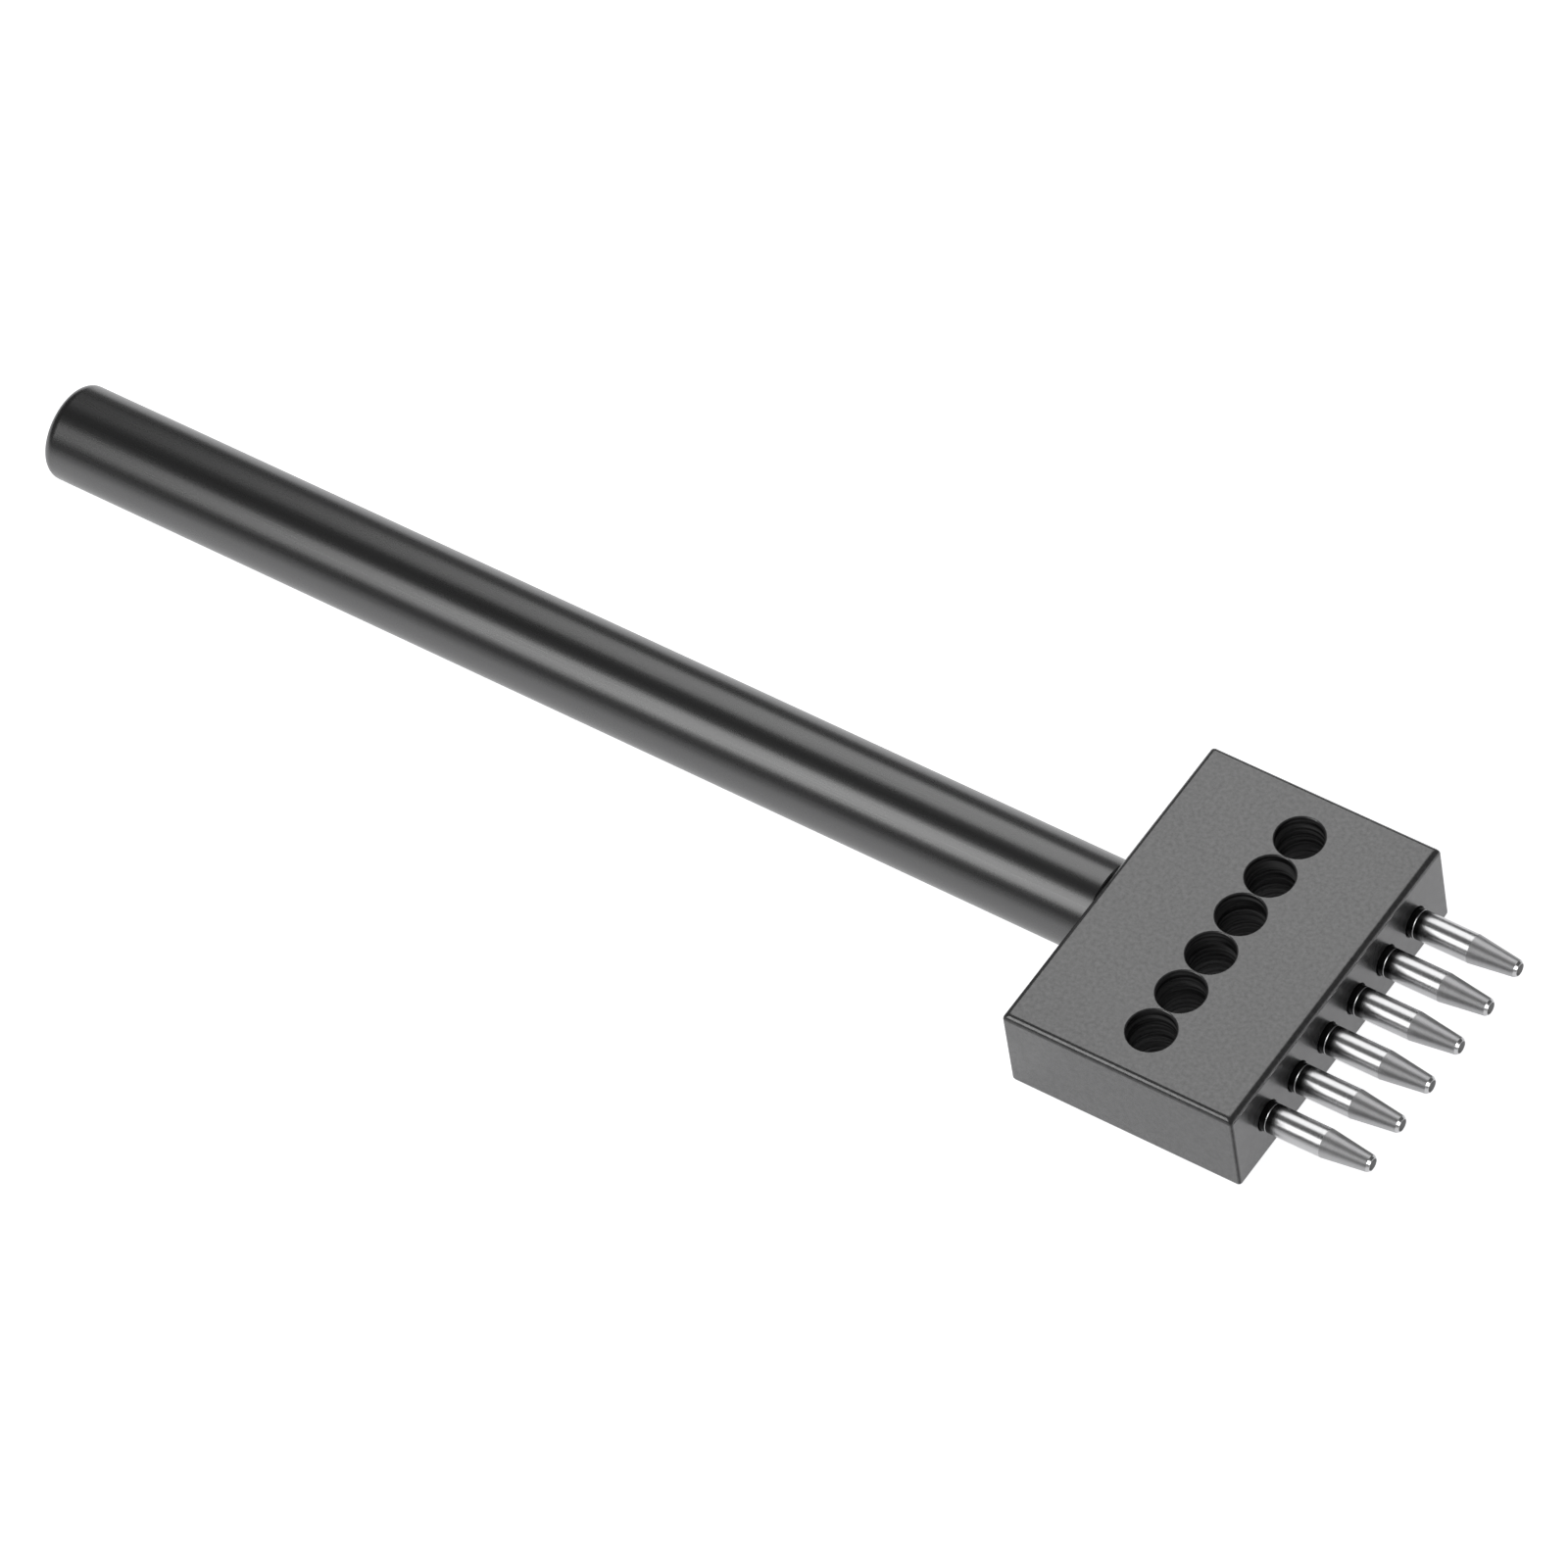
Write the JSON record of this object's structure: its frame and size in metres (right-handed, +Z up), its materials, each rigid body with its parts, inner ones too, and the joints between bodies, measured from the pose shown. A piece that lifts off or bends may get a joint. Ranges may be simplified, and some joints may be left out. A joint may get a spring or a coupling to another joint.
{
  "type": "pricking iron",
  "caption": "Leather stitching punch: a round struck handle on a flat block with a row of screw-in hollow round punch tubes and a waste port behind each one.",
  "frame": {"origin": "centre of the tool's footprint, on the plane the head rests on when the tool lies flat", "axes": "+X along the tool from the struck end of the handle to the cutting tips, +Y across the row of prongs, +Z up out of the head's upper face"},
  "size_m": [0.1554, 0.0356, 0.01],
  "materials": {
    "black_handle": "smooth black finish with a soft sheen",
    "black_head": "satin black coating with a fine grain",
    "tube_steel": "polished barrel, finely ground cone"
  },
  "bodies": {
    "iron": {"handle": "black_handle", "head": "black_head"},
    "tube_1": {"punch_tube_1": "tube_steel"},
    "tube_2": {"punch_tube_2": "tube_steel"},
    "tube_3": {"punch_tube_3": "tube_steel"},
    "tube_4": {"punch_tube_4": "tube_steel"},
    "tube_5": {"punch_tube_5": "tube_steel"},
    "tube_6": {"punch_tube_6": "tube_steel"}
  },
  "joints": [
    {"name": "tube_1_unscrew", "type": "slide", "parent": "iron", "child": "tube_1", "axis": [1, 0, 0], "range_m": [0, 0.0105]},
    {"name": "tube_2_unscrew", "type": "slide", "parent": "iron", "child": "tube_2", "axis": [1, 0, 0], "range_m": [0, 0.0105]},
    {"name": "tube_3_unscrew", "type": "slide", "parent": "iron", "child": "tube_3", "axis": [1, 0, 0], "range_m": [0, 0.0105]},
    {"name": "tube_4_unscrew", "type": "slide", "parent": "iron", "child": "tube_4", "axis": [1, 0, 0], "range_m": [0, 0.0105]},
    {"name": "tube_5_unscrew", "type": "slide", "parent": "iron", "child": "tube_5", "axis": [1, 0, 0], "range_m": [0, 0.0105]},
    {"name": "tube_6_unscrew", "type": "slide", "parent": "iron", "child": "tube_6", "axis": [1, 0, 0], "range_m": [0, 0.0105]}
  ]
}
